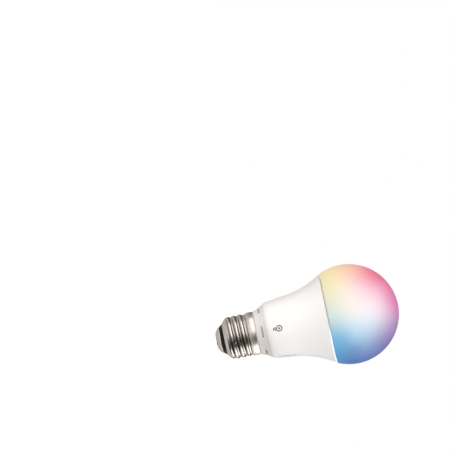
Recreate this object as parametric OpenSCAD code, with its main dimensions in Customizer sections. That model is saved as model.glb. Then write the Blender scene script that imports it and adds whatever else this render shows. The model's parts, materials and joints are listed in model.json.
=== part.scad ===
// Smart LED light bulb, A19 shape, with an E26 screw base.
// The bulb stands on its centre contact, which is the origin, and +Z is the screw axis.
// The housing holds a heat sink, a round LED board, a driver board and a radio board.

/* [Bulb] */
// Overall length, from the centre contact to the top of the dome
overall_l = 111; // [110:0.5:112]
// Radius of the round diffuser dome
dome_r = 30; // [29.5:0.25:30.5]
// Wall of the diffuser dome
dome_wall = 1.4; // [1.2:0.1:1.6]
// Height of the seam between housing and dome
seam_z = 68.4; // [68:0.1:69]
// Gap that shows as a fine line at the seam
seam_gap = 0.3; // [0.2:0.05:0.4]

/* [Housing] */
// Radius of the housing at its rim, just under the dome
rim_r = 27; // [26.8:0.05:27.2]
// Radius of the body where it meets the collar
body_r = 17.2; // [17:0.05:17.4]
// How much the body widens per millimetre of height, below the flare
body_taper = 0.1; // [0.08:0.01:0.12]
// Height at which the body starts to flare out
flare_z = 45; // [44:0.5:46]
// Height of the soft edge between collar and body
collar_top_z = 31.5; // [31:0.1:32]
// Height of the collar's foot, just above the screw shell
collar_z = 24.9; // [24.8:0.1:25.2]
// Radius of the collar at its foot
collar_r = 13.3; // [13.2:0.1:13.6]
// Wall of the housing
wall = 1.7; // [1.6:0.1:1.8]

/* [Screw base] */
// Radius over the thread's crests
crest_r = 13.05; // [13.02:0.01:13.1]
// Radius at the thread's roots
root_r = 12.3; // [12.2:0.01:12.33]
// Radius of the plain band above the thread
band_r = 13.1; // [13.08:0.01:13.15]
// Thickness of the rolled sheet metal
sheet = 0.4; // [0.3:0.05:0.4]
// Radius of the contact's flat end face
contact_r = 3.9; // [3.7:0.1:4.1]
// Radius of the contact where it meets the insulator
contact_back_r = 7.9; // [7.7:0.1:8.1]

/* [Boards] */
// Radius of the round LED board
led_board_r = 22; // [21.5:0.1:22]
// Thickness of the LED board
led_board_t = 1.6; // [1.2:0.1:1.6]
// Number of white LED packages
white_count = 18; // [12:3:18]
// Thickness of the driver board
driver_board_t = 1.2; // [1:0.1:1.6]

/* [Hidden] */
$fn = 96;

// Heights up the base.
pitch = 3.629;            // one turn of the thread: the E26 standard has seven to the inch
contact_back_z = 3;       // back of the contact, front of the insulator
shoulder_z = 5.1;         // lip of the shell
thread_z0 = 7.4;          // the thread runs from here
thread_z1 = 19.5;         // to here
band_z0 = 20.3;           // the plain band runs from here
band_z1 = collar_z - 0.4; // to here, leaving a dark gap under the collar

// The housing's neck fills the thread's roots, and its seat fills the band.
neck_z0 = 9;
neck_r = 11.6;
neck_bore_r = 10;
seat_r = band_r - sheet - 0.1;
seat_z0 = band_z0 + 0.5;

// The housing's outline. The collar swells from its foot to the body's edge, and the body
// runs nearly straight before it flares out to the rim.
rim_z = seam_z - seam_gap / 2;
edge_drop = 0.75;
edge_fade = 1.5;
flare = (rim_r - body_r - body_taper * (rim_z - collar_top_z)) / pow(rim_z - flare_z, 2);
function body_at(z) = body_r + body_taper * (z - collar_top_z) + flare * pow(max(0, z - flare_z), 2)
    - edge_drop * exp(-(z - collar_top_z) / edge_fade);
collar_rise = body_at(collar_top_z) - collar_r;
function collar_at(z) = collar_r
    + collar_rise * pow(max(0, z - collar_z) / (collar_top_z - collar_z), 1.35);
function outer_at(z) = z < collar_top_z ? collar_at(z) : body_at(z);

// The housing's bore, and the pocket in its rim that takes the dome's spigot.
pocket_r = 24.4;
pocket_z = 66.2;
bore_max = pocket_r - 1.1;
function bore_at(z) = min(bore_max, body_at(z) - wall);

// A list of count + 1 heights from low to high.
function steps(low, high, count) = [for (i = [0:count]) low + (high - low) * i / count];
function outline(heights, offset = 0) = [for (z = heights) [outer_at(z) + offset, z]];
function reversed(list) = [for (i = [len(list) - 1:-1:0]) list[i]];

// The stack under the dome.
sink_gap = 0.15;
sink_t = 1;
plate_z = 62.5;
plate_t = 1.5;
plate_hole_r = 11;
pad_z = plate_z + plate_t;
pad_t = 0.3;
led_board_z = pad_z + pad_t;
led_face_z = led_board_z + led_board_t;
screw_count = 3;
screw_ring_r = 14;
screw_r = 1.2;
screw_first = 90;

// The upright boards. The driver board's parts stand on its +Y face, called the front.
board_front_y = -3;
board_back_y = board_front_y - driver_board_t;
radio_y = 5;
radio_t = 1;
radio_w = 15;
radio_z0 = 48.6;
radio_z1 = 76;
pin_w = 0.64;
pin_step = 2.54;
led_pin_count = 5;
led_pin_y = -1.75;
led_header_z = 59.3;
radio_pin_count = 4;
radio_pin_z = 50.3;

// Outline helpers.
module ring(inner, outer, height, z = 0) {
    translate([0, 0, z]) difference() {
        cylinder(r = outer, h = height);
        translate([0, 0, -1]) cylinder(r = inner, h = height + 2);
    }
}

module around(count, radius, first = 0) {
    for (i = [0:count - 1]) rotate([0, 0, first + 360 * i / count]) translate([radius, 0, 0]) children();
}

// A box standing on its lowest z, centred in x and y.
module block(size, at = [0, 0, 0]) {
    translate(at - [size.x / 2, size.y / 2, 0]) cube(size);
}

module rounded_rect(size, r) {
    square([size.x - 2 * r, size.y], center = true);
    square([size.x, size.y - 2 * r], center = true);
    for (sx = [-1, 1], sy = [-1, 1])
        translate([sx * (size.x / 2 - r), sy * (size.y / 2 - r)]) circle(r, $fn = 24);
}

// A skin on the housing, thick enough to show, between two heights. Print is cut from it.
print_t = 0.07;
module print_skin(z0, z1) {
    heights = steps(z0, z1, 8);
    rotate_extrude() polygon(concat(outline(heights, print_t), reversed(outline(heights))));
}

// A round wire swept along a route. The reference vector is never parallel to the route.
function unit(v) = v / norm(v);
function tangent(route, i) = unit(route[min(i + 1, len(route) - 1)] - route[max(i - 1, 0)]);
module wire(route, r, reference, sides = 10) {
    count = len(route);
    points = [
        for (i = [0:count - 1])
            let (t = tangent(route, i), n = unit(cross(t, reference)), b = cross(t, n))
                for (k = [0:sides - 1]) route[i] + r * (cos(360 * k / sides) * n + sin(360 * k / sides) * b)
    ];
    skin = [
        for (i = [0:count - 2], k = [0:sides - 1])
            let (a = i * sides + k, b = i * sides + (k + 1) % sides)
                [a, a + sides, b + sides, b]
    ];
    first = [for (k = [0:sides - 1]) k];
    last = [for (k = [sides - 1:-1:0]) (count - 1) * sides + k];
    polyhedron(points, concat(skin, [first, last]));
}

// A smooth route through four control points.
function bezier(p, count) = [
    for (i = [0:count])
        let (t = i / count, s = 1 - t)
            s * s * s * p[0] + 3 * s * s * t * p[1] + 3 * s * t * t * p[2] + t * t * t * p[3]
];

// ---- screw base ----

// The contact is domed: its outline is a quarter of a superellipse from the flat face to its back edge.
module centre_contact() {
    stem_r = 1.5;
    stem_z = 9;
    edge = 0.3;
    swell = 1.35;
    bulge = contact_back_r - contact_r;
    rise = contact_back_z - edge;
    color("gainsboro") rotate_extrude() polygon(concat(
        [[0, 0]],
        [for (t = [0:0.125:1]) [contact_r + bulge * (1 - pow(1 - t, swell)), rise * pow(t, swell)]],
        [[contact_back_r, contact_back_z], [stem_r, contact_back_z], [stem_r, stem_z], [0, stem_z]]
    ));
}

module base_insulator() {
    hole_r = 1.6;
    flange_r = 9.4;
    waist_r = 8.5;
    plug_r0 = 9.2;
    plug_r = 10;
    plug_z = 7.2;
    room = 0.05;
    edge = 0.2;
    flange_z = shoulder_z - room;
    plug_z0 = shoulder_z + sheet + room;
    plug_z1 = plug_z0 + plug_r - plug_r0;
    color([0.07, 0.06, 0.06]) rotate_extrude() polygon([
        [hole_r, contact_back_z], [contact_back_r + 0.1, contact_back_z], [flange_r, flange_z - edge],
        [flange_r, flange_z], [waist_r, flange_z], [waist_r, plug_z0],
        [plug_r0, plug_z0], [plug_r, plug_z1], [plug_r, plug_z], [hole_r, plug_z]
    ]);
}

// The rolled thread is right-handed, and fades in and out over one ramp at its ends.
thread_ramp = 1.3;
thread_sides = 60;
thread_rings = 44;
function ramp(x) = x <= 0 ? 0 : x >= 1 ? 1 : x * x * (3 - 2 * x);
function thread_depth(z) = (crest_r - root_r)
    * ramp((z - thread_z0) / thread_ramp) * ramp((thread_z1 - z) / thread_ramp);
function thread_at(z, angle) = root_r + thread_depth(z) * (0.5 + 0.5 * cos(360 * z / pitch - angle));

module thread_sheet() {
    n = thread_sides;
    heights = steps(thread_z0, thread_z1, thread_rings);
    layer = n * len(heights);
    points = [
        for (inward = [0, sheet], z = heights, k = [0:n - 1])
            let (angle = 360 * k / n, r = thread_at(z, angle) - inward)
                [r * cos(angle), r * sin(angle), z]
    ];
    function quad(i, k) = [i * n + k, i * n + (k + 1) % n, (i + 1) * n + (k + 1) % n, (i + 1) * n + k];
    outer = [for (i = [0:thread_rings - 1], k = [0:n - 1]) reversed(quad(i, k))];
    inner = [for (i = [0:thread_rings - 1], k = [0:n - 1]) [for (j = quad(i, k)) j + layer]];
    foot = [for (k = [0:n - 1]) [k, (k + 1) % n, (k + 1) % n + layer, k + layer]];
    head = [for (q = foot) [for (j = reversed(q)) j + thread_rings * n]];
    polyhedron(points, concat(outer, inner, foot, head));
}

module screw_shell() {
    lip_r = 8.6;
    heel_r = 9.5;
    lap = 0.2;
    over = 0.1;
    join_in = root_r - sheet - over;
    join_out = root_r + over;
    color([0.75, 0.70, 0.64]) {
        thread_sheet();
        rotate_extrude() polygon([
            [lip_r, shoulder_z], [heel_r, shoulder_z], [heel_r + 0.4, shoulder_z + 0.15],
            [root_r - 1.05, thread_z0 - 1.2], [root_r - 0.45, thread_z0 - 0.75],
            [join_out, thread_z0 - 0.15], [join_out, thread_z0 + lap], [join_in, thread_z0 + lap],
            [join_in, thread_z0 - 0.05], [root_r - 0.8, thread_z0 - 0.45], [root_r - 1.35, thread_z0 - 0.9],
            [heel_r + 0.2, shoulder_z + sheet + 0.05], [heel_r, shoulder_z + sheet],
            [lip_r, shoulder_z + sheet]
        ]);
        rotate_extrude() polygon([
            [join_out, thread_z1 - lap], [join_out, thread_z1 + 0.1], [band_r, band_z0], [band_r, band_z1],
            [band_r - sheet, band_z1], [band_r - sheet, band_z0 + 0.1], [join_in, thread_z1 + 0.2],
            [join_in, thread_z1 - lap]
        ]);
    }
}

// ---- housing and dome ----

module housing() {
    bevel = 0.35;
    throat_z = 27;
    bore_z = 32;
    soft_edge = 0.6;
    groove = [4, 1.6, 8];
    groove_depth = 0.9;
    color("white") difference() {
        rotate_extrude() polygon(concat(
            [[neck_bore_r, neck_z0], [neck_r, neck_z0], [neck_r, thread_z1 + 0.2], [seat_r, seat_z0],
             [seat_r, collar_z], [collar_r - bevel, collar_z]],
            outline(steps(collar_z + bevel, collar_top_z, 8)),
            outline(steps(collar_top_z + soft_edge, rim_z - bevel, 30)),
            [[rim_r - bevel, rim_z], [pocket_r, rim_z], [pocket_r, pocket_z]],
            [for (z = reversed(steps(bore_z, pocket_z, 16))) [bore_at(z), z]],
            [[neck_bore_r, throat_z]]
        ));
        translate([neck_r - groove_depth, -groove.y / 2, neck_z0 - 1]) cube(groove);
    }
}

module diffuser_dome() {
    centre_z = overall_l - dome_r;
    foot_z = seam_z + seam_gap / 2;
    foot_r = sqrt(pow(dome_r, 2) - pow(centre_z - foot_z, 2));
    spigot_r = pocket_r - 0.2;
    spigot_wall = 1.3;
    bevel = 0.35;
    flange_t = 1.4;
    flange_lap = 0.5;
    past = 2;
    color([0.96, 0.90, 0.95]) {
        difference() {
            translate([0, 0, centre_z]) sphere(dome_r, $fn = 128);
            translate([0, 0, centre_z]) sphere(dome_r - dome_wall, $fn = 128);
            translate([0, 0, foot_z - 2 * dome_r]) cylinder(r = dome_r + past, h = 2 * dome_r);
            rotate_extrude() polygon([
                [foot_r - bevel, foot_z - past], [foot_r + past, foot_z - past],
                [foot_r + past, foot_z + bevel + past], [foot_r - bevel, foot_z]
            ]);
        }
        rotate_extrude() polygon([
            [spigot_r - spigot_wall, pocket_z + pad_t], [spigot_r, pocket_z + pad_t], [spigot_r, foot_z],
            [foot_r - flange_lap, foot_z], [foot_r - flange_lap, foot_z + flange_t],
            [spigot_r - spigot_wall, foot_z + flange_t]
        ]);
    }
}

module dome_adhesive() {
    color([0.85, 0.85, 0.82]) ring(bore_max, pocket_r - 0.2, pad_t, pocket_z);
}

// ---- print on the housing ----

// A plain lamp pictogram: a ring with a dot in it, and two bars for the base.
module printed_icon() {
    ring_z = 38.8;
    ring_r = 1.9;
    line = 0.58;
    bar_gap = 0.32;
    bar_widths = [2.2, 1.5];
    skin_below = 4.6;
    skin_above = 3.3;
    color("dimgray") intersection() {
        print_skin(ring_z - skin_below, ring_z + skin_above);
        translate([0, 0, ring_z]) rotate([90, 0, 0]) linear_extrude(height = dome_r) {
            difference() {
                circle(ring_r, $fn = 48);
                circle(ring_r - line, $fn = 48);
            }
            circle(line, $fn = 24);
            for (i = [0, 1]) translate([0, -ring_r - bar_gap - line / 2 - i * (line + bar_gap)])
                square([bar_widths[i], line], center = true);
        }
    }
}

// Rows of plain bars of unequal width, in three groups round the collar's front.
module collar_marks() {
    mark_z = 28.5;
    mark_h = 0.95;
    bar_step = 2.9;
    bar_widths = [0.36, 0.52, 0.68];
    groups = [[-59, 6], [0, 9], [57, 6]]; // the angle of each group, and its number of bars
    color("darkgray") intersection() {
        print_skin(mark_z - mark_h, mark_z + mark_h);
        for (group = groups, i = [0:group[1] - 1]) {
            angle = group[0] + bar_step * (i - (group[1] - 1) / 2);
            rotate([0, 0, angle])
                block([bar_widths[i % 3], body_r / 2, mark_h], [0, -body_r, mark_z - mark_h / 2]);
        }
    }
}

// A fine row of plain dashes along the body.
module side_marks() {
    first_z = 35.2;
    angle = 70;
    count = 7;
    dash_step = 1.5;
    dash = [0.5, 8, 1.1];
    color("darkgray") intersection() {
        print_skin(first_z - dash_step, first_z + dash_step * (count + 1));
        for (i = [0:count - 1]) rotate([0, 0, angle]) block(dash, [0, -body_r, first_z + dash_step * i]);
    }
}

// ---- heat sink and LED board ----

module screw_holes(r, z, height) {
    translate([0, 0, z - 1]) around(screw_count, screw_ring_r, screw_first)
        cylinder(r = r, h = height + 2, $fn = 32);
}

module heat_sink() {
    foot_z = 34;
    heights = steps(foot_z, plate_z, 14);
    color("silver") difference() {
        rotate_extrude() polygon(concat(
            [for (z = heights) [bore_at(z) - sink_gap, z]],
            [[bore_at(pad_z) - sink_gap, pad_z], [plate_hole_r, pad_z], [plate_hole_r, plate_z],
             [bore_at(plate_z) - sink_gap - sink_t, plate_z]],
            [for (z = reversed(steps(foot_z, plate_z - 0.5, 14))) [bore_at(z) - sink_gap - sink_t, z]]
        ));
        screw_holes(screw_r + 0.05, plate_z, plate_t);
    }
}

module thermal_pad() {
    color("lightgray") difference() {
        ring(plate_hole_r + 0.2, led_board_r - 0.5, pad_t, pad_z);
        screw_holes(2, pad_z, pad_t);
    }
}

module led_board() {
    slot_room = 0.3;
    past_z = 4;
    color([0.93, 0.94, 0.93]) difference() {
        translate([0, 0, led_board_z]) cylinder(r = led_board_r, h = led_board_t);
        screw_holes(screw_r + 0.15, led_board_z, led_board_t);
        block([radio_w + 2 * slot_room, radio_t + 2 * slot_room, past_z],
            [0, radio_y + radio_t / 2, led_board_z - 1]);
        block([led_pin_count * pin_step + 0.4, pin_w + 1.4, past_z], [0, led_pin_y, led_board_z - 1]);
    }
}

// One LED package: a pale moulded frame round a round pool of phosphor.
module led_package(size) {
    difference() {
        block([size.x, size.y, size.z]);
        translate([0, 0, size.z - 0.15]) cylinder(d = size.x * 0.72, h = 1, $fn = 24);
    }
}

module white_leds() {
    ring_r = 18.8;
    package = [2.8, 3.5, 0.8];
    color([0.98, 0.90, 0.45]) translate([0, 0, led_face_z]) around(white_count, ring_r) led_package(package);
}

// A pair of packages between each two screws.
module colour_leds() {
    ring_r = 13.5;
    pair_half = 20;
    package = [3.5, 3.5, 0.9];
    between = screw_first - 180 / screw_count;
    color([0.95, 0.95, 0.97]) translate([0, 0, led_face_z]) for (side = [-1, 1])
        around(screw_count, ring_r, between + side * pair_half) led_package(package);
}

module board_screws() {
    head_r = 2.3;
    head_h = 1.6;
    bevel_h = 0.5;
    reach = 4.6;
    slot = [0.6, 2.6, 1];
    slot_depth = 0.8;
    color("lightgray") around(screw_count, screw_ring_r, screw_first)
        translate([0, 0, led_face_z]) difference() {
            union() {
                translate([0, 0, -reach]) cylinder(r = screw_r, h = reach + 0.2, $fn = 32);
                cylinder(r = head_r, h = head_h - bevel_h, $fn = 32);
                translate([0, 0, head_h - bevel_h])
                    cylinder(r1 = head_r, r2 = head_r - 0.6, h = bevel_h, $fn = 32);
            }
            for (turn = [0, 90]) rotate([0, 0, turn]) block(slot, [0, 0, head_h - slot_depth]);
        }
}

// ---- driver board and its parts ----

// Puts children on the driver board's front face, with their own z pointing out from it.
module on_front(x, z) {
    translate([x, board_front_y, z]) rotate([-90, 0, 0]) children();
}

module on_back(x, z) {
    translate([x, board_back_y, z]) rotate([90, 0, 0]) children();
}

// The board's narrow stem reaches down into the neck, and its wide head fills the body.
module driver_board() {
    stem_half = 8.5;
    head_half = 13;
    foot_z = 10;
    stem_z = 30;
    head_z = 34;
    top_z = 61.5;
    side = [[stem_half, foot_z], [stem_half, stem_z], [head_half, head_z], [head_half, top_z]];
    color("seagreen") translate([0, board_front_y, 0]) rotate([90, 0, 0])
        linear_extrude(height = driver_board_t) polygon(concat(side, [for (p = reversed(side)) [-p.x, p.y]]));
}

// An electrolytic can with its rolled groove and crimped top, standing along z.
module can(r, height) {
    groove = 0.35;
    groove_z = 1.8;
    bead = 0.4;
    crimp = 1.2;
    dish = 0.2;
    rotate_extrude() polygon([
        [0, 0], [r - bead, 0], [r, bead], [r, groove_z - bead], [r - groove, groove_z], [r, groove_z + bead],
        [r, height - bead], [r - bead, height], [r - crimp, height], [r - crimp - dish, height - dish],
        [0, height - dish]
    ]);
}

module input_capacitor() {
    at = [0, 1.3, 13];
    color([0.16, 0.20, 0.42]) translate(at) can(r = 4, height = 12);
}

module output_capacitor() {
    at = [7.3, 1.6, 35];
    color([0.12, 0.12, 0.14]) translate(at) can(r = 4, height = 14);
}

module varistor() {
    at = [-7.7, 0.2, 16];
    color([0.15, 0.35, 0.65]) translate(at) rotate([0, 90, 0]) cylinder(r = 3, h = 2.6, $fn = 48);
}

// A lacquered resistor with a cap on each end.
module fuse_resistor() {
    at = [6.3, -1.2, 12.5];
    length = 9;
    cap_l = 1.8;
    color([0.35, 0.55, 0.35]) translate(at) {
        cylinder(r = 1.25, h = length, $fn = 32);
        for (z = [0, length - cap_l]) translate([0, 0, z]) cylinder(r = 1.6, h = cap_l, $fn = 32);
    }
}

module bridge_rectifier() {
    body = [6.2, 4.4, 2.3];
    leg = [0.7, 1.4, 0.5];
    leg_at = [2, 2.6];
    color([0.13, 0.13, 0.14]) on_front(0, 28.6) {
        block(body, [0, 0, 0.1]);
        for (sx = [-1, 1], sy = [-1, 1]) block(leg, [sx * leg_at.x, sy * leg_at.y, 0]);
    }
}

transformer = [-6.2, 2, 41];
core = [13, 5, 12];
core_leg_w = 3.6;
core_window = [2.8, 7];
bobbin_flange_t = 0.8;

module core_windows() {
    window = [core_window.x, 2 * core.y, core_window.y];
    for (side = [-1, 1]) block(window, [side * (core_leg_w + core_window.x) / 2, 0, -core_window.y / 2]);
}

module transformer_core() {
    color([0.22, 0.22, 0.23]) translate(transformer) difference() {
        block(core, [0, 0, -core.z / 2]);
        core_windows();
    }
}

// A sleeve of the given outline round the core's middle leg.
module sleeve(size, r, z, height) {
    room = 0.1;
    translate([0, 0, z]) linear_extrude(height = height) difference() {
        rounded_rect(size, r);
        square([core_leg_w + 2 * room, core.y + 2 * room], center = true);
    }
}

module transformer_bobbin() {
    flange = [9, 9.6];
    foot_z = -core_window.y / 2;
    head_z = core_window.y / 2 - bobbin_flange_t;
    color([0.10, 0.10, 0.10]) translate(transformer) for (z = [foot_z, head_z])
        sleeve(flange, r = 0.5, z = z, height = bobbin_flange_t);
}

module transformer_winding() {
    size = [8.8, 8.8];
    height = core_window.y - 2 * bobbin_flange_t;
    color([0.90, 0.78, 0.25]) translate(transformer) sleeve(size, r = 1.8, z = -height / 2, height = height);
}

choke = [-6.5, 55.5];
choke_r = 3.7;
choke_waist_r = 1.665;
choke_h = 6;
choke_flange = 1.2;

module choke_core() {
    color([0.20, 0.20, 0.21]) on_front(choke.x, choke.y) {
        cylinder(r = choke_waist_r, h = choke_h, $fn = 48);
        for (z = [0, choke_h - choke_flange])
            translate([0, 0, z]) cylinder(r = choke_r, h = choke_flange, $fn = 48);
    }
}

module choke_winding() {
    inset = 0.5;
    color([0.72, 0.40, 0.18]) on_front(choke.x, choke.y)
        ring(choke_waist_r, choke_r - inset, choke_h - 2 * choke_flange, choke_flange);
}

// A disc that stands off the board on two short legs.
module safety_capacitor() {
    leg_half = 2;
    leg_l = 0.6;
    color([0.20, 0.45, 0.80]) on_front(7.2, 55.2) {
        translate([0, 0, leg_l - 0.2]) cylinder(r = 3.4, h = 2.4, $fn = 48);
        for (side = [-1, 1]) translate([side * leg_half, 0, 0]) cylinder(r = 0.4, h = leg_l, $fn = 16);
    }
}

// A small-outline chip with four legs a side.
module chip(size) {
    stand_off = 0.1;
    leg = [0.4, 1, 0.3];
    leg_step = 1.27;
    block([size.x, size.y, size.z - stand_off], [0, 0, stand_off]);
    for (side = [-1, 1], i = [-1.5:1.5]) block(leg, [i * leg_step, side * (size.y / 2 + leg.z), 0]);
}

module driver_chips() {
    size = [5, 4, 1.5];
    color([0.10, 0.10, 0.11]) for (at = [[-4, 44], [4.5, 53]]) on_back(at.x, at.y) chip(size);
}

// Three fields of small soldered parts: in the stem, and on the left and right of the head.
module chip_parts() {
    small = [0.8, 1.6, 0.5];
    large = [1.2, 2, 0.7];
    color([0.25, 0.22, 0.20]) {
        for (x = [-6:3:6], z = [14:3.5:24.5]) on_back(x, z) block(small);
        for (x = [-10, -7.5], z = [50:3:56]) on_back(x, z) block(large);
        for (x = [3:3:9], z = [38:3:47]) on_back(x, z) block(small);
    }
}

// ---- pin strips and radio board ----

module pin_row(count) {
    for (i = [0:count - 1]) translate([(i - (count - 1) / 2) * pin_step, 0, 0]) children();
}

module led_header() {
    body = [led_pin_count * pin_step, 2.5, 2.4];
    color([0.12, 0.12, 0.12]) difference() {
        block(body, [0, board_front_y + body.y / 2, led_header_z]);
        pin_row(led_pin_count) block([pin_w, pin_w, 2 * body.z], [0, led_pin_y, led_header_z - 1]);
    }
}

module led_pins() {
    pin = [pin_w, pin_w, 8];
    color("gold") pin_row(led_pin_count) block(pin, [0, led_pin_y, led_header_z + 0.1]);
}

module radio_header() {
    body = [radio_pin_count * pin_step, 2.5, 2];
    color([0.12, 0.12, 0.12]) difference() {
        block(body, [0, board_front_y + body.y / 2, radio_pin_z - body.z / 2]);
        pin_row(radio_pin_count)
            block([pin_w, 3 * body.y, pin_w], [0, board_front_y, radio_pin_z - pin_w / 2]);
    }
}

module radio_pins() {
    reach = radio_y - board_front_y;
    color("gold") pin_row(radio_pin_count)
        block([pin_w, reach, pin_w], [0, board_front_y + reach / 2, radio_pin_z - pin_w / 2]);
}

module radio_board() {
    size = [radio_w, radio_t, radio_z1 - radio_z0];
    color([0.08, 0.25, 0.16]) block(size, [0, radio_y + radio_t / 2, radio_z0]);
}

module radio_shield() {
    can_size = [12, 2.2, 9.6];
    bevel = 0.4;
    at = [0, radio_y + radio_t, 51.6];
    color("lightgray") translate(at) rotate([-90, 0, 0]) translate([0, -can_size.z / 2, 0]) {
        linear_extrude(height = can_size.y - bevel) rounded_rect([can_size.x, can_size.z], 0.8);
        linear_extrude(height = can_size.y)
            rounded_rect([can_size.x - 2 * bevel, can_size.z - 2 * bevel], 0.6);
    }
}

// A flat zigzag of foil on the radio board's free end.
module antenna() {
    line = 0.7;
    turn = 1.5;
    tall = 5.5;
    foil = 0.2;
    foot_z = 69;
    color([0.85, 0.65, 0.35]) translate([0, radio_y + radio_t + foil / 2, foot_z]) {
        for (i = [-3:3]) block([line, foil, tall], [i * turn, 0, 0]);
        for (i = [-3:2])
            block([turn + line, foil, line], [(i + 0.5) * turn, 0, i % 2 == 0 ? 0 : tall - line]);
    }
}

// ---- leads ----

// The live lead drops from the driver board's foot to the contact's stem.
module live_lead() {
    route = bezier([[0, -2.3, 12.4], [0, -2.4, 9.6], [0, 0, 11.4], [0, 0, 9]], 12);
    color("firebrick") wire(route, r = 0.45, reference = [1, 0, 0]);
}

// The neutral lead turns up round the neck's lower edge and lies in the groove behind the shell.
module neutral_lead() {
    groove_x = 11.3;
    bend = [10, -0.4, 8.1];
    count = 8;
    down = bezier([[5.4, -2.5, 11.6], [5.6, -2.4, 8.6], [8, -1.2, 8.2], bend], count);
    up = bezier([bend, [10.9, -0.1, bend.z], [groove_x, 0, 8.6], [groove_x, 0, 10]], count);
    rest = [[groove_x, 0, 12], [groove_x, 0, 15]];
    color("white")
        wire(concat(down, [for (i = [1:count]) up[i]], rest), r = 0.4, reference = [0, 1, 0]);
}

centre_contact();
base_insulator();
screw_shell();
housing();
diffuser_dome();
dome_adhesive();
printed_icon();
collar_marks();
side_marks();
heat_sink();
thermal_pad();
led_board();
white_leds();
colour_leds();
board_screws();
driver_board();
input_capacitor();
output_capacitor();
varistor();
fuse_resistor();
bridge_rectifier();
transformer_core();
transformer_bobbin();
transformer_winding();
choke_core();
choke_winding();
safety_capacitor();
driver_chips();
chip_parts();
led_header();
led_pins();
radio_header();
radio_pins();
radio_board();
radio_shield();
antenna();
live_lead();
neutral_lead();
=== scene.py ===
import bpy
import json
import math
from mathutils import Matrix, Vector


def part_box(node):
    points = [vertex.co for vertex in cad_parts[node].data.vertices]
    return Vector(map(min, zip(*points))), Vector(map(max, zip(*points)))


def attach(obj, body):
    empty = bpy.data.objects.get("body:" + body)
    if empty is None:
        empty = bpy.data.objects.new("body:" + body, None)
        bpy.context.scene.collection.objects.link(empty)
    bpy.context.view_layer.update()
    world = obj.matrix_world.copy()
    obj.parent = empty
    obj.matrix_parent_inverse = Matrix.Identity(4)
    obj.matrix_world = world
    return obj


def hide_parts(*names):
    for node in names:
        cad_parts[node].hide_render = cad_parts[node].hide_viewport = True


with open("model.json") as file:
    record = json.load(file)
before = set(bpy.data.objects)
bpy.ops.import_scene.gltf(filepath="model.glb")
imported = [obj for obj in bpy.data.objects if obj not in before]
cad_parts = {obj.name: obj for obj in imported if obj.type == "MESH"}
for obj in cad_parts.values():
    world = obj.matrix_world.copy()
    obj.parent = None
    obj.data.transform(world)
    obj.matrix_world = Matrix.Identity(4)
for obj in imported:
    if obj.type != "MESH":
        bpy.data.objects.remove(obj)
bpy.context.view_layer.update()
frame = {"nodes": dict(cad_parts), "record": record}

MM = 0.001
FULL_TURN = 2 * math.pi

# ---------------------------------------------------------------- sizes from the frame

dome_low, dome_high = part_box("diffuser_dome")
dome_radius = (dome_high.x - dome_low.x) / 2
dome_centre = Vector((0, 0, dome_high.z - dome_radius))
rim_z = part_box("housing")[1].z

shell_low, shell_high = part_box("screw_shell")
band_radius = shell_high.x
crest_radius = band_radius - 0.05 * MM
root_radius = band_radius - 0.8 * MM
shoulder_z = shell_low.z
band_top_z = shell_high.z
thread_low = shoulder_z + 2.3 * MM
thread_high = band_top_z - 5.0 * MM
band_low = thread_high + 0.8 * MM
pitch = 3.629 * MM
sheet = 0.4 * MM
screw_axis = Vector((0, 0, 1))

# ---------------------------------------------------------------- shader helper


def srgb(red, green, blue):
    """A colour named on the usual 0 to 255 scale, as the linear light that a shader takes."""

    def linear(level):
        share = level / 255
        return share / 12.92 if share <= 0.04045 else ((share + 0.055) / 1.055) ** 2.4

    return (linear(red), linear(green), linear(blue), 1.0)


class Value:
    """A shader socket that holds one number. Arithmetic on it adds Math nodes."""

    def __init__(self, finish, socket):
        self.finish, self.socket = finish, socket

    def _math(self, operation, *operands, clamp=False):
        settings = {"operation": operation, "use_clamp": clamp}
        return self.finish.node("ShaderNodeMath", settings, dict(enumerate(operands)))

    def __add__(self, other):
        return self._math("ADD", self, other)

    def __sub__(self, other):
        return self._math("SUBTRACT", self, other)

    def __rsub__(self, other):
        return self._math("SUBTRACT", other, self)

    def __mul__(self, other):
        return self._math("MULTIPLY", self, other)

    def __rtruediv__(self, other):
        return self._math("DIVIDE", other, self)

    def __pow__(self, other):
        return self._math("POWER", self, other)

    __radd__ = __add__
    __rmul__ = __mul__

    def raised(self):
        """e to the power of this value."""
        return self._math("EXPONENT", self)

    def held(self):
        """This value kept between 0 and 1."""
        return self._math("ADD", self, 0.0, clamp=True)

    def between(self, low, high):
        """0 below low, 1 above high, and a smooth rise from one to the other."""
        inputs = {"Value": self, "From Min": low, "From Max": high}
        return self.finish.node("ShaderNodeMapRange", {"interpolation_type": "SMOOTHSTEP"}, inputs)


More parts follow.
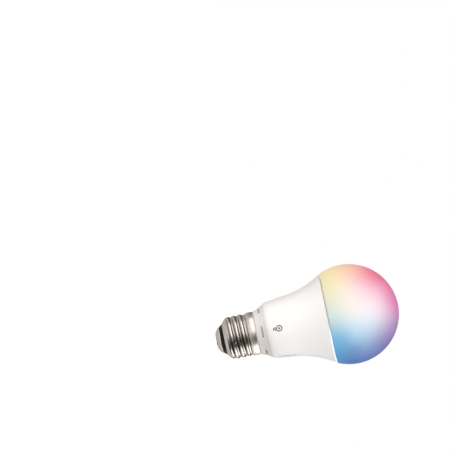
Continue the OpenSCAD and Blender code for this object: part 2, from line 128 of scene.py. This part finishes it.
class Finish:
    """A material while its nodes are being wired to the Principled shader."""

    def __init__(self, name):
        self.material = bpy.data.materials.new(name)
        self.material.use_nodes = True
        self.nodes = self.material.node_tree.nodes
        self.links = self.material.node_tree.links
        self.shader = self.nodes["Principled BSDF"]

    def node(self, kind, settings=None, inputs=None, output=0):
        """Adds a node: its settings first, then a value or a link for each named socket."""
        made = self.nodes.new(kind)
        for key, value in (settings or {}).items():
            setattr(made, key, value)
        for key, value in (inputs or {}).items():
            self._feed(made.inputs[key], value)
        return Value(self, made.outputs[output])

    def _feed(self, socket, value):
        if isinstance(value, Value):
            self.links.new(value.socket, socket)
        else:
            socket.default_value = value

    def set(self, **sockets):
        """Sets the Principled shader's own sockets, named with _ for a space."""
        for key, value in sockets.items():
            self._feed(self.shader.inputs[key.replace("_", " ")], value)

    def place(self):
        """Where a point is on the object, in metres."""
        return self.node("ShaderNodeTexCoord", output="Object")

    def axes(self, vector):
        """The x, y and z of a vector, one value each."""
        return [
            self.node("ShaderNodeSeparateXYZ", inputs={"Vector": vector}, output=i) for i in range(3)
        ]

    def vectors(self, operation, first, second):
        """Vector arithmetic on two vectors or colours."""
        return self.node("ShaderNodeVectorMath", {"operation": operation}, {0: first, 1: second})

    def stretched(self, vector, scale):
        """The pattern space scaled unevenly, which draws a pattern out along an axis."""
        return self.vectors("MULTIPLY", vector, scale)

    def scaled(self, vector, factor):
        """A vector or a colour times one number."""
        inputs = {0: vector, "Scale": factor}
        return self.node("ShaderNodeVectorMath", {"operation": "SCALE"}, inputs)

    def noise(self, size, vector=None, detail=3.0, roughness=0.5):
        """A soft random pattern whose features are about size metres across."""
        inputs = {"Vector": vector or self.place(), "Scale": 1 / size}
        inputs |= {"Detail": detail, "Roughness": roughness}
        return self.node("ShaderNodeTexNoise", inputs=inputs, output="Fac")

    def mix(self, share, first, second):
        """The first colour at a share of 0, the second at 1."""
        settings = {"data_type": "RGBA", "clamp_factor": True}
        return self.node("ShaderNodeMix", settings, {0: share, 6: first, 7: second}, output=2)

    def bump(self, height, depth, strength):
        """The surface's normal, tilted as if height raised it by up to depth metres."""
        inputs = {"Height": height, "Distance": depth, "Strength": strength}
        return self.node("ShaderNodeBump", inputs=inputs)


# ---------------------------------------------------------------- finishes

# The tints of the dome are the coloured light of the LEDs, painted into its colour and its glow: how
# far a tint's middle lies to the side and along the screw axis from the dome's centre, in dome radii,
# and its colour. They show alike from front and back.
DOME_LIGHT_TINTS = {
    "peach": (-0.95, -0.20, srgb(255, 238, 178)),
    "apricot": (-0.98, 0.22, srgb(254, 200, 180)),
    "rose": (-0.68, 0.66, srgb(243, 32, 102)),
    "mauve": (-0.10, 1.00, srgb(240, 90, 180)),
    "lilac": (0.52, 0.80, srgb(166, 116, 191)),
    "periwinkle": (0.80, 0.48, srgb(48, 77, 168)),
    "azure": (0.92, -0.05, srgb(22, 92, 176)),
    "sky": (0.52, -0.42, srgb(80, 177, 225)),
    "mist": (-0.05, -0.45, srgb(208, 229, 226)),
    "cream": (-0.55, -0.40, srgb(239, 232, 190)),
    "milk": (-0.20, 0.10, srgb(246, 240, 222)),
    "blush": (-0.35, 0.42, srgb(254, 218, 240)),
    "pearl": (0.08, 0.49, srgb(255, 252, 254)),
    "haze": (0.38, 0.22, srgb(188, 228, 250)),
}
TINT_SPREAD = 0.25


def milky_diffuser(name):
    """Milky plastic that scatters its own tinted light, so it is lit partly from within."""
    finish = Finish(name)
    lit_share, glow = 0.55, 0.42
    shift = finish.vectors("SUBTRACT", finish.place(), dome_centre)
    side, _, along = finish.axes(finish.stretched(shift, (1 / dome_radius,) * 3))
    total, colour = 0.0, None
    for across, up, tint in DOME_LIGHT_TINTS.values():
        away = (side - across) ** 2.0 + (along - up) ** 2.0
        weight = (away * (-0.5 / TINT_SPREAD**2)).raised()
        part = finish.scaled(tint[:3], weight)
        total = total + weight
        colour = part if colour is None else finish.vectors("ADD", colour, part)
    tinted = finish.scaled(colour, 1 / total)
    grain = finish.noise(0.5 * MM, detail=4.0)
    cloud = finish.noise(14 * MM, detail=2.0)
    milky = finish.mix(cloud * 0.10, tinted, srgb(255, 250, 248))
    # The tinted LED light is painted into the base colour at the lit share, and shines as the glow.
    finish.set(
        Base_Color=finish.scaled(milky, lit_share), Emission_Color=milky, Emission_Strength=glow,
        Roughness=0.48 + grain * 0.14, IOR=1.5, Specular_IOR_Level=0.25,
        Normal=finish.bump(grain, 0.01 * MM, 0.5),
    )
    return finish


def moulded(
    name, light, dark, roughness, grain_size=0.35 * MM, cloud_size=9 * MM, coat=0.0, gloss=0.5
):
    """Moulded or dipped plastic: a faint cloudiness in the colour, and a fine spark-eroded grain."""
    finish = Finish(name)
    grain = finish.noise(grain_size, detail=4.0)
    cloud = finish.noise(cloud_size, detail=2.0)
    finish.set(
        Base_Color=finish.mix(cloud.between(0.35, 0.75), light, dark),
        Roughness=roughness + (grain - 0.5) * 0.18, Coat_Weight=coat, Specular_IOR_Level=gloss,
        Normal=finish.bump(grain, 0.012 * MM, 0.6),
    )
    return finish


def white_plastic(name):
    """Satin white, with painted shade on the collar. The lip has painted shade on one side and a
    painted bluish glow of the dome's light on the other.
    """
    finish = Finish(name)
    collar_edge = 31.1 * MM
    # Widths of the painted shade and the painted light on the housing's rim.
    shaded_lip_width = 0.45 * MM
    lit_lip_width = 1.0 * MM
    side, _, along = finish.axes(finish.place())
    grain = finish.noise(0.3 * MM, detail=4.0)
    cloud = finish.noise(11 * MM, detail=2.0)
    # Painted shade: the collar, which slopes downwards, is painted darker from a crisp edge down.
    collar_shade = 1 - along.between(collar_edge, collar_edge + 0.7 * MM)
    body = finish.mix(collar_shade * 0.45 + cloud * 0.12, srgb(252, 250, 249), srgb(226, 217, 212))
    # Painted shade and light on the rim. A dark band on one side stands for shade in the seam. A bluish
    # band on the other side stands for the dome's light falling on the rim.
    lip = along.between(rim_z - shaded_lip_width, rim_z - shaded_lip_width + 0.3 * MM)
    lit_lip_side = side.between(2 * MM, 12 * MM)
    lip_shade_and_light = finish.mix(lit_lip_side, srgb(140, 128, 118), srgb(236, 244, 255))
    # Painted glow: the dome's light on the rim, put in as emission on the bluish side.
    glow = along.between(rim_z - lit_lip_width, rim_z - lit_lip_width + 0.5 * MM) * lit_lip_side
    finish.set(
        Base_Color=finish.mix(lip, body, lip_shade_and_light),
        Emission_Color=finish.mix(glow, srgb(0, 0, 0), srgb(176, 214, 255)), Emission_Strength=0.4,
        Roughness=0.36 + (grain - 0.5) * 0.16, Specular_IOR_Level=0.45,
        Normal=finish.bump(grain, 0.01 * MM, 0.5),
    )
    return finish


def plated(name, bright, dull, roughness):
    """Plated or bare metal: rolling streaks, and dull blotches where it has been handled."""
    finish = Finish(name)
    rolled = finish.stretched(finish.place(), (1.0, 1.0, 14.0))
    lines = finish.noise(1.2 * MM, rolled, detail=5.0, roughness=0.6)
    stain = finish.noise(2.5 * MM, detail=4.0, roughness=0.6).between(0.52, 0.78)
    finish.set(
        Metallic=1.0, Base_Color=finish.mix(stain * 0.6 + lines * 0.15, bright, dull),
        Roughness=roughness + stain * 0.16 + (lines - 0.5) * 0.10,
        Normal=finish.bump(lines, 0.006 * MM, 0.5),
    )
    return finish


def base_shell_nickel(name):
    """Warm nickel, worn bright on crests and roots; the thread's flanks painted dark brown, partly
    tarnish and partly painted shade.
    """
    finish = Finish(name)
    place = finish.place()
    side, depth, along = finish.axes(place)
    from_axis = (side**2.0 + depth**2.0) ** 0.5
    rise = from_axis.between(root_radius, crest_radius)
    threaded = along.between(thread_low - 0.3 * MM, thread_low + 0.5 * MM)
    plain = along.between(thread_high, band_low)
    # Painted shade on the thread's flanks, and a little in the roots, which darkens what they reflect;
    # partly tarnish.
    flank = (rise * (1 - rise) * 4) ** 1.6 + (1 - rise) * threaded * 0.2
    rolled = finish.stretched(place, (1.0, 1.0, 16.0))
    lines = finish.noise(1.0 * MM, rolled, detail=5.0, roughness=0.6)
    blotch = finish.noise(2.2 * MM, detail=4.0, roughness=0.65).between(0.48, 0.8)
    flank_shade_and_tarnish = (flank * (0.78 + blotch * 0.22)).held()
    bright = finish.mix(blotch * 0.3, srgb(228, 221, 213), srgb(196, 184, 170))
    finish.set(
        Metallic=1.0, Base_Color=finish.mix(flank_shade_and_tarnish, bright, srgb(76, 62, 52)),
        Roughness=0.26 + plain * 0.12 + flank_shade_and_tarnish * 0.12 + (lines - 0.5) * 0.06,
        Normal=finish.bump(lines, 0.006 * MM, 0.4),
    )
    return finish


def contact_metal(name):
    """Nickel turned on a lathe: fine rings, a little dulled, with a brown flux spot near the rim."""
    finish = Finish(name)
    ring = 0.25 * MM
    spot_side, spot_depth, spot_radius = 1.5 * MM, -4.8 * MM, 0.9 * MM
    side, depth, along = finish.axes(finish.place())
    from_axis = (side**2.0 + depth**2.0) ** 0.5
    rings = finish.node(
        "ShaderNodeTexNoise", {"noise_dimensions": "1D"},
        {"W": from_axis + along, "Scale": 1 / ring, "Detail": 3.0}, output="Fac",
    )
    blotch = finish.noise(1.1 * MM, detail=4.0, roughness=0.6)
    from_spot = ((side - spot_side) ** 2.0 + (depth - spot_depth) ** 2.0) ** 0.5
    spot = 1 - (from_spot + blotch * spot_radius).between(spot_radius, spot_radius + 0.8 * MM)
    dulled = finish.mix(blotch * 0.5, srgb(228, 223, 219), srgb(198, 192, 187))
    finish.set(
        Metallic=0.8, Base_Color=finish.mix(spot * 0.85, dulled, srgb(112, 66, 58)),
        Roughness=0.36 + blotch * 0.16, Normal=finish.bump(rings, 0.008 * MM, 0.5),
    )
    return finish


def circuit_board(name, mask, trace):
    """Solder mask with the copper tracks showing faintly through it."""
    finish = Finish(name)
    track_spacing = 3.2 * MM
    cells = finish.node(
        "ShaderNodeTexVoronoi", {"distance": "CHEBYCHEV", "feature": "F1"},
        {"Vector": finish.place(), "Scale": 1 / track_spacing}, output="Distance",
    )
    tracks = cells.between(0.42, 0.48)
    grain = finish.noise(0.5 * MM)
    finish.set(
        Base_Color=finish.mix(tracks * 0.6, mask, trace), Roughness=0.3 + grain * 0.12,
        Coat_Weight=0.2, Normal=finish.bump(tracks + grain * 0.1, 0.03 * MM, 0.6),
    )
    return finish


def wound(name, light, dark, turn, metallic=0.0):
    """Wire or tape wound in turns along the screw axis. One wave is a light turn and a dark one."""
    finish = Finish(name)
    waves = 1 / (turn * 6.3)
    inputs = {"Vector": finish.place(), "Scale": waves, "Distortion": 0.4, "Detail": 2.0}
    turns = finish.node(
        "ShaderNodeTexWave", {"wave_type": "BANDS", "bands_direction": "Z"}, inputs, output="Fac"
    )
    cloud = finish.noise(1.5 * MM)
    finish.set(
        Metallic=metallic, Base_Color=finish.mix(turns * 0.5 + cloud * 0.3, light, dark),
        Roughness=0.3 + cloud * 0.15, Normal=finish.bump(turns, 0.06 * MM, 0.8),
    )
    return finish


# Each slot's maker, and what the maker takes after the slot's name.
FINISHES = {
    "milky_diffuser": (milky_diffuser,),
    "white_plastic": (white_plastic,),
    "base_shell_nickel": (base_shell_nickel,),
    "contact_metal": (contact_metal,),
    "black_insulator": (moulded, srgb(16, 12, 11), srgb(26, 20, 18), 0.2, 0.8 * MM, 2 * MM, 0.0, 0.2),
    "silicone_bead": (moulded, srgb(236, 236, 232), srgb(214, 214, 206), 0.45),
    "grey_print": (moulded, srgb(70, 65, 63), srgb(94, 87, 83), 0.55, 0.15 * MM, MM),
    "pale_grey_print": (moulded, srgb(134, 126, 121), srgb(160, 152, 146), 0.55, 0.15 * MM, MM),
    "pressed_aluminium": (plated, srgb(226, 228, 230), srgb(190, 192, 194), 0.32),
    "thermal_pad_grey": (moulded, srgb(198, 202, 206), srgb(176, 182, 188), 0.6),
    "white_solder_mask": (circuit_board, srgb(240, 242, 240), srgb(222, 226, 224)),
    "phosphor_led": (moulded, srgb(250, 222, 90), srgb(248, 240, 190), 0.3, MM, 2 * MM),
    "colour_led": (moulded, srgb(244, 244, 248), srgb(210, 214, 224), 0.2, MM, 2 * MM, 0.4),
    "zinc_screw": (plated, srgb(222, 223, 226), srgb(176, 178, 184), 0.25),
    "green_board": (circuit_board, srgb(36, 118, 66), srgb(60, 150, 88)),
    "blue_can_sleeve": (moulded, srgb(44, 56, 124), srgb(34, 42, 96), 0.25),
    "black_can_sleeve": (moulded, srgb(36, 36, 40), srgb(52, 52, 56), 0.25),
    "blue_epoxy": (moulded, srgb(44, 108, 190), srgb(30, 84, 160), 0.2, MM, 3 * MM, 0.5),
    "green_lacquer": (moulded, srgb(120, 160, 112), srgb(96, 136, 92), 0.25),
    "chip_black": (moulded, srgb(40, 40, 42), srgb(28, 28, 30), 0.5, 0.2 * MM, 2 * MM),
    "ferrite": (moulded, srgb(62, 62, 64), srgb(84, 84, 88), 0.45, 0.25 * MM, 1.5 * MM),
    "black_moulding": (moulded, srgb(34, 34, 34), srgb(46, 46, 46), 0.4),
    "yellow_tape": (wound, srgb(238, 200, 70), srgb(206, 160, 40), 2.4 * MM),
    "enamelled_copper": (wound, srgb(200, 118, 62), srgb(140, 70, 34), 0.3 * MM, 0.9),
    "chip_part_brown": (moulded, srgb(128, 104, 84), srgb(96, 78, 64), 0.35),
    "gold_pin": (plated, srgb(236, 200, 120), srgb(196, 156, 82), 0.2),
    "dark_board": (circuit_board, srgb(20, 66, 48), srgb(36, 96, 70)),
    "shield_tin": (plated, srgb(214, 216, 220), srgb(184, 186, 190), 0.26),
    "antenna_copper": (plated, srgb(226, 180, 120), srgb(190, 140, 86), 0.24),
    "red_insulation": (moulded, srgb(180, 38, 32), srgb(150, 28, 26), 0.4),
    "white_insulation": (moulded, srgb(236, 236, 232), srgb(216, 214, 208), 0.4),
}
finishes = {slot: make(slot, *choices).material for slot, (make, *choices) in FINISHES.items()}

for part in frame["record"]["subparts"]:
    node = frame["nodes"][part["node"]]
    node.material_slots[0].material = finishes[part["material_slot"]]

# ---------------------------------------------------------------- screw shell


def deselected():
    """Leaves edit mode and selects nothing, so that the next operator acts only on its own piece."""
    if bpy.context.mode != "OBJECT":
        bpy.ops.object.mode_set(mode="OBJECT")
    bpy.ops.object.select_all(action="DESELECT")


def turned(name, outline, steps):
    """One point extruded along an outline of (radius, height) pairs, then spun round the screw axis."""
    deselected()
    start = Vector((outline[0][0], 0, outline[0][1]))
    bpy.ops.mesh.primitive_plane_add(size=MM, location=start)
    piece = bpy.context.object
    piece.name = name
    bpy.ops.object.transform_apply(location=True, rotation=False, scale=False)
    bpy.ops.object.mode_set(mode="EDIT")
    bpy.ops.mesh.select_all(action="SELECT")
    bpy.ops.mesh.merge(type="CENTER")
    for (radius, height), (next_radius, next_height) in zip(outline, outline[1:]):
        move = (next_radius - radius, 0, next_height - height)
        bpy.ops.mesh.extrude_vertices_move(TRANSFORM_OT_translate={"value": move})
    bpy.ops.mesh.select_all(action="SELECT")
    bpy.ops.mesh.spin(steps=steps, angle=FULL_TURN, center=(0, 0, 0), axis=screw_axis)
    bpy.ops.mesh.select_all(action="SELECT")
    bpy.ops.mesh.remove_doubles(threshold=0.002 * MM)
    bpy.ops.mesh.normals_make_consistent(inside=False)
    bpy.ops.object.mode_set(mode="OBJECT")
    return piece


def curve(start, control, end, count):
    """Points of a smooth bend from start to end, pulled towards control, without start itself."""
    points = []
    for i in range(1, count + 1):
        t = i / count
        weights = ((1 - t) ** 2, 2 * t * (1 - t), t * t)
        corners = (start, control, end)
        points.append(tuple(sum(w * p[k] for w, p in zip(weights, corners)) for k in (0, 1)))
    return points


def smooth(share):
    """A soft rise from 0 to 1, held at both ends."""
    share = min(1, max(0, share))
    return share * share * (3 - 2 * share)


def thickened(piece, wall):
    """Gives an open skin its wall, inwards, and applies it."""
    solid = piece.modifiers.new("wall", "SOLIDIFY")
    solid.thickness, solid.offset = wall, -1
    bpy.ops.object.modifier_apply(modifier=solid.name)


def rolled_thread(piece):
    """Moves the skin out along a right-handed helix, and punches the crimps that grip the neck."""
    fade_length = 1.4 * MM
    crimp_count, first_crimp = 4, math.radians(-72.5)
    crimp_z = shoulder_z + 6.4 * MM
    crimp_depth, crimp_width = 0.45 * MM, 0.55 * MM
    crimps = [first_crimp + FULL_TURN * i / crimp_count for i in range(crimp_count)]
    for vertex in piece.data.vertices:
        x, y, z = vertex.co
        radius, angle = math.hypot(x, y), math.atan2(y, x)
        fade = smooth((z - thread_low) / fade_length) * smooth((thread_high - z) / fade_length)
        wave = 0.5 + 0.5 * math.cos(FULL_TURN * z / pitch - angle)
        new = radius + fade * (crest_radius - root_radius) * wave ** 0.75
        for crimp in crimps:
            off = math.remainder(angle - crimp, FULL_TURN) * radius
            away = math.hypot(off, z - crimp_z) / crimp_width
            new -= crimp_depth * math.exp(-away * away)
        vertex.co = (x * new / radius, y * new / radius, z)


def shell_outline():
    """Half the shell's section: curled lip, round shoulder, plain blank for the thread, band, edge."""
    rows = 112
    lip = (8.6 * MM, shoulder_z + 0.05 * MM)
    heel = (9.5 * MM, shoulder_z)
    cheek = (11.1 * MM, shoulder_z + 1.0 * MM)
    thread_start = (root_radius, thread_low)
    thread_end = (root_radius, thread_high)
    step = (band_radius - 0.4 * MM, band_low - 0.35 * MM)
    band_start = (band_radius, band_low + 0.15 * MM)
    outline = [lip, heel]
    outline += curve(heel, (10.3 * MM, shoulder_z + 0.05 * MM), cheek, 5)
    outline += curve(cheek, (12.1 * MM, shoulder_z + 1.75 * MM), thread_start, 6)
    row_height = (thread_high - thread_low) / rows
    outline += [(root_radius, thread_low + row_height * i) for i in range(1, rows + 1)]
    outline += curve(thread_end, (root_radius, thread_high + 0.3 * MM), step, 4)
    outline += curve(step, (band_radius, band_low - 0.1 * MM), band_start, 4)
    outline += [(band_radius, band_top_z - 0.12 * MM)]
    outline += [(band_radius - 0.06 * MM, band_top_z - 0.02 * MM)]
    outline += [(band_radius - 0.14 * MM, band_top_z)]
    return outline


def rolled_screw_shell():
    """The plated shell, turned, threaded, crimped and given its sheet's thickness."""
    piece = turned("rolled_screw_shell", shell_outline(), 160)
    rolled_thread(piece)
    thickened(piece, sheet)
    bpy.ops.object.shade_smooth_by_angle(angle=math.radians(40))
    piece.data.materials.append(finishes["base_shell_nickel"])
    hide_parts("screw_shell")
    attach(piece, "root")


rolled_screw_shell()

# ---------------------------------------------------------------- floor, light and camera

ROOM_LIGHT = 0.24


def added_plane(name, size):
    """A flat rectangle at the origin that faces up."""
    deselected()
    bpy.ops.mesh.primitive_plane_add(size=1)
    plane = bpy.context.object
    plane.name = name
    plane.scale = (*size, 1)
    bpy.ops.object.transform_apply()
    return plane


def studio_floor():
    """A pale floor that is as white to the camera as the backdrop, and dimmer to the bulb."""
    floor = added_plane("studio_floor", (4, 4))
    paint = Finish("pale_floor")
    seen = paint.node("ShaderNodeLightPath", output="Is Camera Ray")
    paint.set(
        Base_Color=srgb(200, 200, 200), Roughness=0.7,
        Emission_Color=srgb(255, 252, 249), Emission_Strength=seen * 0.8 + ROOM_LIGHT,
    )
    floor.data.materials.append(paint.material)


def studio_world():
    """A dim warm room round the bulb, which the camera sees as plain white."""
    world = bpy.data.worlds.new("studio")
    bpy.context.scene.world = world
    world.use_nodes = True
    nodes, links = world.node_tree.nodes, world.node_tree.links
    room = nodes["Background"]
    room.inputs["Color"].default_value = srgb(255, 246, 239)
    room.inputs["Strength"].default_value = ROOM_LIGHT
    backdrop = nodes.new("ShaderNodeBackground")
    backdrop.inputs["Color"].default_value = (1, 1, 1, 1)
    backdrop.inputs["Strength"].default_value = 1.0
    path = nodes.new("ShaderNodeLightPath")
    choice = nodes.new("ShaderNodeMixShader")
    links.new(path.outputs["Is Camera Ray"], choice.inputs[0])
    links.new(room.outputs[0], choice.inputs[1])
    links.new(backdrop.outputs[0], choice.inputs[2])
    links.new(choice.outputs[0], nodes["World Output"].inputs["Surface"])


def pointed_at(place, target, up):
    """A turn that looks from place to target with up as near to upright as it can be."""
    back = (place - target).normalized()
    right = up.cross(back).normalized()
    turn = Matrix((right, back.cross(right), back)).transposed()
    return Matrix.Translation(place) @ turn.to_4x4()


def around_axis(degrees, distance, height):
    """A point round the screw axis. 0 is the camera's side, and the angle grows towards +X."""
    angle = math.radians(degrees)
    return Vector((math.sin(angle) * distance, -math.cos(angle) * distance, height))


def softbox(name, degrees, distance, height, size, watts, mirrored=True):
    """A soft light that faces the screw axis. Metal shows it only if it is mirrored."""
    lamp = bpy.data.lights.new(name, "AREA")
    lamp.shape = "RECTANGLE"
    lamp.size, lamp.size_y = size
    lamp.energy = watts
    holder = bpy.data.objects.new(name, lamp)
    bpy.context.scene.collection.objects.link(holder)
    target = Vector((0, 0, height))
    holder.matrix_world = pointed_at(around_axis(degrees, distance, height), target, screw_axis)
    holder.visible_camera = False
    holder.visible_glossy = mirrored


def dark_card(name, size, place, facing, upward):
    """A black card, hidden from the camera, that the plating mirrors as a dark band."""
    card = added_plane(name, size)
    card.matrix_world = pointed_at(place, place - facing, upward)
    paint = Finish(name)
    paint.set(Base_Color=srgb(12, 12, 12), Roughness=0.9)
    card.data.materials.append(paint.material)
    card.visible_camera = False


def dark_cards():
    """One card stands beside the camera, and one lies on the floor in front of the base."""
    degrees = 35
    outward = around_axis(degrees, 1.0, 0.0)
    beside_camera = around_axis(degrees, 0.7, 1.01)
    before_base = around_axis(degrees, 0.06, 1 * MM)
    dark_card("standing_card", (0.6, 2.0), beside_camera, outward, screw_axis)
    dark_card("lying_card", (0.04, 0.09), before_base, -screw_axis, outward)


def bulb_camera():
    """A long lens level with the seam, rolled so that the upright bulb lies on its side."""
    distance = 1.5
    roll = math.radians(11.5)
    shift_along, shift_up = 61.8 * MM, 56.1 * MM
    seam = Vector((0, 0, rim_z))
    along = Vector((math.sin(roll), 0, math.cos(roll)))
    upward = Vector((-math.cos(roll), 0, math.sin(roll)))
    target = seam - along * shift_along + upward * shift_up
    lens = bpy.data.cameras.new("camera")
    lens.sensor_width = 36
    lens.lens = 199.8
    lens.clip_start, lens.clip_end = 0.05, 20
    camera = bpy.data.objects.new("camera", lens)
    bpy.context.scene.collection.objects.link(camera)
    camera.matrix_world = pointed_at(seam + Vector((0, -distance, 0)), target, upward)
    bpy.context.scene.camera = camera


studio_floor()
studio_world()
softbox("key_softbox", degrees=-47, distance=0.9, height=0.42, size=(1.65, 0.6), watts=6.2)
softbox("under_panel", degrees=98, distance=0.8, height=0.32, size=(1.0, 0.6), watts=4)
softbox(
    "front_fill", degrees=6, distance=0.62, height=0.3, size=(0.5, 0.4), watts=2.25, mirrored=False
)
dark_cards()
bulb_camera()

scene = bpy.context.scene
scene.view_settings.view_transform = "Standard"
scene.view_settings.look = "None"
